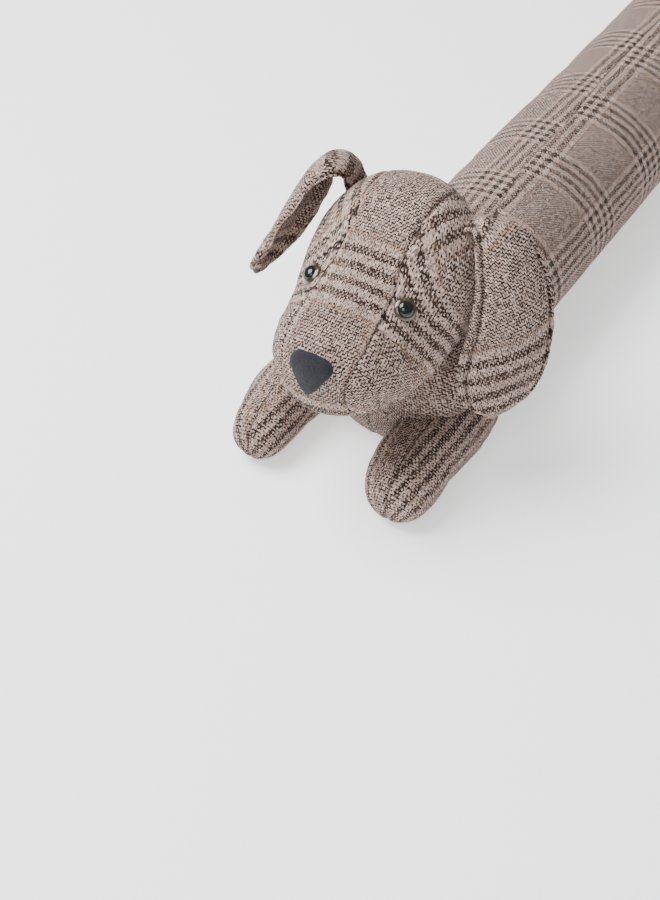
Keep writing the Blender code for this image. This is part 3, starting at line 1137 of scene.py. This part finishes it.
# Nose and eyes
def nose_outline():
    """A rounded triangle, point down, as evenly spaced places across and up."""
    corners = []
    for across, up, facing in NOSE_CORNERS:
        point = Vector((across * NOSE_WIDTH, up * NOSE_HEIGHT))
        centre = point - point.normalized() * NOSE_CORNER_RADIUS
        for step in range(NOSE_CORNER_STEPS + 1):
            turn = facing + (0.5 - step / NOSE_CORNER_STEPS) * NOSE_CORNER_TURN
            corners.append(centre + Vector((cos(turn), sin(turn))) * NOSE_CORNER_RADIUS)
    corners.append(corners[0])
    lengths = [0.0]
    for before, after in zip(corners, corners[1:]):
        lengths.append(lengths[-1] + (after - before).length)
    places = np.linspace(0, lengths[-1], NOSE_SIDES, endpoint=False)
    across = np.interp(places, lengths, [point.x for point in corners])
    up = np.interp(places, lengths, [point.y for point in corners])
    up += NOSE_CROWN * np.maximum(up / NOSE_HEIGHT, 0) * np.cos(pi * across / NOSE_WIDTH)
    for _ in range(3):
        across = (across + np.roll(across, 1) + np.roll(across, -1)) / 3
        up = (up + np.roll(up, 1) + np.roll(up, -1)) / 3
    return list(zip(across, up))


def nose_piece(head_surface):
    """Felt of even thickness that lies on the muzzle, with a soft edge."""
    outline = nose_outline()
    rings = []
    for step in range(NOSE_RINGS + 1):
        share = 1 - step / NOSE_RINGS
        ring = []
        for across, up in outline:
            y, z = across * share, NOSE_CENTRE_Z + up * share
            x = head_surface.ray_cast(Vector((MUZZLE_X - NOSE_SEARCH, y, z)), Vector((1, 0, 0)))[0].x
            x -= NOSE_FELT * (1 - share ** NOSE_EDGE_POWER) ** 0.5
            x -= sum(high * noise.noise(Vector((y, z, layer)) / size) for high, size, layer in NOSE_RIPPLES)
            ring.append((x, y, z))
        rings.append(ring)
    back = [(x + NOSE_BACK, y, z) for x, y, z in rings[0]]
    middle = rings[-1][0]
    start = (middle[0] + NOSE_BACK_MIDDLE, 0, NOSE_CENTRE_Z)
    mesh = mesh_from_rings("nose", [back, *rings[:-1]], start, middle)
    mesh.shade_smooth()
    return add_piece("nose_felt", mesh)


def turned_piece(name, profile, place, axis):
    """A round piece from a profile of distances out and forward, turned about an axis."""
    turns = [2 * pi * side / EYE_SIDES for side in range(EYE_SIDES)]
    rings = [[(out * cos(turn), out * sin(turn), front) for turn in turns] for out, front in profile[1:-1]]
    mesh = mesh_from_rings(name, rings, (0, 0, profile[0][1]), (0, 0, profile[-1][1]))
    mesh.transform(Matrix.Translation(place) @ axis.to_track_quat("Z", "Y").to_matrix().to_4x4())
    mesh.shade_smooth()
    return add_piece(name, mesh)


def dome(radius, bulge, depth):
    """Profile of a low dome with an upright rim, from its back to its front."""
    angles = [pi / 2 * step / EYE_STEPS for step in range(EYE_STEPS + 1)]
    return [(0.0, -depth), (radius, -depth), *((radius * cos(angle), bulge * sin(angle)) for angle in angles)]


def eye_pieces(side, mirror, head_surface):
    """A dark amber ring and a raised black pupil, seated on the head's cloth."""
    facing = Vector((EYE_FACING[0], EYE_FACING[1] * mirror, EYE_FACING[2])).normalized()
    near = Vector((world_x(EYE_AT[0]), EYE_AT[1] * mirror, EYE_AT[2]))
    seat = head_surface.ray_cast(near + facing * EYE_SEARCH, -facing)[0] + facing * EYE_LIFT
    ring = turned_piece("eye_ring_" + side, dome(*RING_DOME), seat, facing)
    seat += facing * PUPIL_LIFT
    pupil = turned_piece("eye_pupil_" + side, dome(*PUPIL_DOME), seat, facing)
    return ring, pupil


def thread_lay(at, run, threads, mirror, **more):
    """Where a known thread crossing lies, the way the long threads run there, and the crossing's numbers."""
    along, side, up = at
    return {"at": (world_x(along), side, up), "run": run, "threads": threads, "mirror": mirror, **more}


BODY_LAY = {
    LEFT_PANEL: thread_lay(
        (0.2908, -0.0371, BODY_CENTRE_Z + 0.0471), (1, 0, 0), (78, 3), 1,
        reach=0.15, skew=0.22, pitch=(PITCH_ACROSS, 0.00078), plain_before=world_x(0.118),
    ),
    RIGHT_PANEL: thread_lay(
        (0.2417, 0.0080, BODY_CENTRE_Z + 0.0595), (1, 0, 0), (27, 3), -1,
        reach=0.15, skew=0.05, pitch=(PITCH_ACROSS, 0.00072), plain_before=world_x(0.118),
    ),
}


def side_lay(mirror):
    """The cheek's threads, which turn towards the crown."""
    return thread_lay(
        (0.0706, 0.0401 * mirror, 0.1512), (-0.38, -0.73 * mirror, 0.56), (9, 9), mirror,
        level_at=(world_x(0.1012), 0.0320 * mirror, 0.1812),
        upper_run=(0.44, -0.70 * mirror, 0.31),
        turn_from=0.128, turn_to=0.176, plain=(0.094, 0.078),
    )


HEAD_LAY = {
    LEFT_PANEL: side_lay(-1),
    RIGHT_PANEL: side_lay(1),
    GUSSET_PANEL: thread_lay((0.077, 0.0, 0.168), (-1, 0, -0.3), (84, 0), 1, reach=0.03),
    CHIN_PANEL: thread_lay((0.045, 0.0, 0.078), (-1, 0, 0), (60, 60), 1, reach=0.03),
}


def paw_lay(side, mirror, seam_threads):
    """Lengthwise threads that go round the toe, counted down both sides from the seam on the paw's top."""
    return {
        panel: thread_lay(
            (0.078, (side * mirror + turn * 2) * MM, 0.0450), (-1.2, 0, 0), seam_threads[panel], turn,
            round=(0, 1, 0), plain=(0.30, 0.20),
        )
        for panel, turn in ((LEFT_PANEL, -1), (RIGHT_PANEL, 1))
    }


def hind_lay(mirror):
    return {
        panel: thread_lay((0.767, 0.062 * mirror, up), (-1, 0.3 * mirror, 0), (90, 75), mirror * turn)
        for panel, up, turn in ((LEFT_PANEL, 0.028, 1), (RIGHT_PANEL, 0.0005, -1))
    }


def leg_piece(name, table, mirror, seam, panels, lays):
    """A stuffed leg with one seam, whose level is above zero on the first of its two panels."""
    mesh = section_mesh("leg", LEG_COLUMNS, table, LEG_SIDES, LEG_STEPS, floor_level, mirror)
    return stuffed_piece(name + "_cloth", mesh, LEG_VOXEL, [(seam, None)], split_panels(seam, *panels), lays)


body_panel = split_panels(back_seam, RIGHT_PANEL, LEFT_PANEL)
body = stuffed_piece("body_cloth", body_mesh(), VOXEL, [(back_seam, None)], body_panel, BODY_LAY)
head = stuffed_piece(
    "head_cloth",
    section_mesh("head", HEAD_COLUMNS, HEAD_ROWS, HEAD_SIDES, HEAD_STEPS, jaw_level),
    VOXEL,
    [(jaw_seam, None), (gusset_seam, over_head)],
    head_panel,
    HEAD_LAY,
)
legs = []
for name, mirror, table, seam_threads in (
    ("front_leg_left", -1, LEFT_LEG_ROWS, ((-3, 66), (-24, 50))),
    ("front_leg_right", 1, RIGHT_LEG_ROWS, ((-14, 66), (-14, 66))),
):
    lays = paw_lay(table[4][1], mirror, seam_threads)
    legs.append(leg_piece(name, table, mirror, leg_middle(table, mirror), (RIGHT_PANEL, LEFT_PANEL), lays))
for name, mirror in (("hind_leg_left", -1), ("hind_leg_right", 1)):
    halves = (LEFT_PANEL, RIGHT_PANEL)
    legs.append(leg_piece(name, HIND_LEG_ROWS, mirror, leaf_edge, halves, hind_lay(mirror)))
leaves = [
    leaf_piece(name + "_cloth", table, thickness, mirror, dict(zip(LEAF_LAY_COLUMNS, lay)))
    for name, table, thickness, mirror, lay in LEAVES
]

fillings = {piece: (FILL_PRESSURE, FILL_CAP) for piece in [head, *legs]}
fillings[body] = (FILL_PRESSURE, BODY_CAP)
fillings.update({piece: (LEAF_PRESSURE, LEAF_CAP) for piece in leaves})
fill_all(fillings)

# Each piece's finer steps, the depth and width of its seams, and the height that nothing goes below
for pieces, levels, depth, width, floor in (
    ([body], 1, 0.0010, SEAM_WIDTH, FLOOR_GAP),
    ([head], 2, 0.0009, SEAM_WIDTH, None),
    (legs, 2, 0.0010, SEAM_WIDTH, FLOOR_GAP),
    (leaves, 2, 0.0026, LEAF_SEAM_WIDTH, None),
):
    for piece in pieces:
        subdivide(piece, levels)
        sew(piece, depth, width, floor)

head_surface = BVHTree.FromPolygons(
    [Vector(point) for point in get_points(head.data)],
    [tuple(face.vertices) for face in head.data.polygons],
)

cloth = cloth_material()
for piece, node, fill in (
    (body, "body", 0.85),
    (head, "head", 0.9),
    (legs[0], "front_leg_left", 0.85),
    (legs[1], "front_leg_right", 0.85),
    (legs[2], "hind_leg_left", 0.6),
    (legs[3], "hind_leg_right", 0.6),
    (leaves[0], "ear_left", 0.35),
    (leaves[1], "ear_right", 0.35),
    (leaves[2], "tail", 0.5),
):
    drop_working_data(piece)
    piece.data.materials.clear()
    piece.data.materials.append(cloth)
    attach(piece, "root")
    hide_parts(node)

felt = nose_piece(head_surface)
felt.data.materials.append(grained_material(
    "felt",
    grain=(900.0, 4.0, 0.7),
    tones=(0.35, 0.7),
    colours=FELT,
    rough=(0.2, 0.8, 0.88, 1.0),
    relief=(0.0004, 0.8),
    patches=(160.0, 0.3, 0.7, 0.88, 1.1),
    Sheen_Weight=0.12,
    Sheen_Roughness=0.6,
    Specular_IOR_Level=0.15,
))
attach(felt, "root")
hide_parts("nose")

ring_finish = grained_material(
    "eye_ring",
    grain=(420.0, 3.0),
    tones=(0.35, 0.7),
    colours=EYE_RING,
    rough=(0.3, 0.7, 0.16, 0.28),
    relief=(0.00006, 0.4),
    Coat_Weight=0.8,
    Coat_Roughness=0.04,
)
pupil_finish = grained_material(
    "eye_pupil",
    grain=(700.0, 3.0),
    tones=(0.4, 0.8),
    colours=PUPIL,
    rough=(0.3, 0.8, 0.03, 0.09),
    relief=(0.00001, 0.3),
    Specular_IOR_Level=0.5,
)
for side, mirror in (("left", -1), ("right", 1)):
    ring, pupil = eye_pieces(side, mirror, head_surface)
    for piece, finish in ((ring, ring_finish), (pupil, pupil_finish)):
        piece.data.materials.append(finish)
        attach(piece, "root")
    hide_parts("eye_" + side)

# Floor, light and camera
floor = add_piece("floor", bpy.data.meshes.new("floor"))
with opened(floor.data) as shape:
    bmesh.ops.create_grid(shape, x_segments=1, y_segments=1, size=FLOOR_HALF)
floor_graph = Graph("floor")
floor_graph.finish(
    Base_Color=FLOOR_COLOUR, Roughness=0.9, Emission_Color=FLOOR_COLOUR, Emission_Strength=FLOOR_GLOW
)
floor.data.materials.append(floor_graph.material)


def add_softbox(name, place, target, size, power):
    light = bpy.data.lights.new(name, "AREA")
    light.shape = "SQUARE"
    light.size = size
    light.energy = power
    lamp = bpy.data.objects.new(name, light)
    lamp.location = place
    lamp.rotation_euler = (Vector(target) - Vector(place)).to_track_quat("-Z", "Y").to_euler()
    bpy.context.scene.collection.objects.link(lamp)


for softbox in SOFTBOXES:
    add_softbox(*softbox)
world = bpy.data.worlds.new("studio")
world.use_nodes = True
world.node_tree.nodes["Background"].inputs["Color"].default_value = (1, 1, 1, 1)
world.node_tree.nodes["Background"].inputs["Strength"].default_value = WORLD_STRENGTH
bpy.context.scene.world = world

camera_data = bpy.data.cameras.new("camera")
camera_data.lens = CAMERA_LENS
camera_data.sensor_width = CAMERA_SENSOR
camera_data.clip_start = 0.01
camera = bpy.data.objects.new("camera", camera_data)
camera.location = CAMERA_PLACE
camera.rotation_euler = (pi / 2 - CAMERA_DOWN, 0, CAMERA_TURN - pi / 2)
bpy.context.scene.collection.objects.link(camera)
bpy.context.scene.camera = camera
